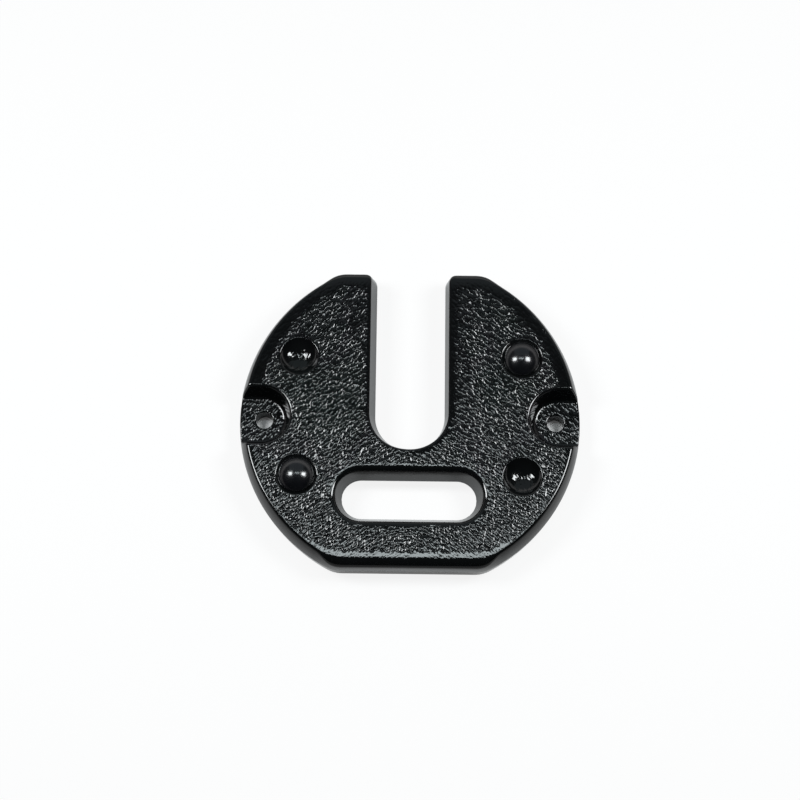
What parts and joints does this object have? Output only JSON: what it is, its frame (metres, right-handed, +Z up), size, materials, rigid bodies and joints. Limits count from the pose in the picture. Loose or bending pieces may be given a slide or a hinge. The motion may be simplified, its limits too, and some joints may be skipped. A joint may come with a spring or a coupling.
{
  "type": "weight plate",
  "caption": "Cast iron weight plate that slides round an upright by its open slot, with a hand slot, tie holes in side lugs and domed studs so that plates nest in a stack.",
  "frame": {"origin": "centre of the disc on the underside, and the centre of the slot's round end to within 4 mm", "axes": "+X to the right lug, +Y out of the slot's mouth, +Z up through the studded face"},
  "size_m": [0.2998, 0.2706, 0.0436],
  "materials": {
    "plate_enamel": "gloss black enamel, pebble grain on the flat faces and smooth on the walls",
    "stud_enamel": "smooth gloss black enamel"
  },
  "bodies": {
    "root": {"plate_casting": "plate_enamel", "left_nesting_stud": "stud_enamel", "right_nesting_stud": "stud_enamel"}
  },
  "joints": []
}
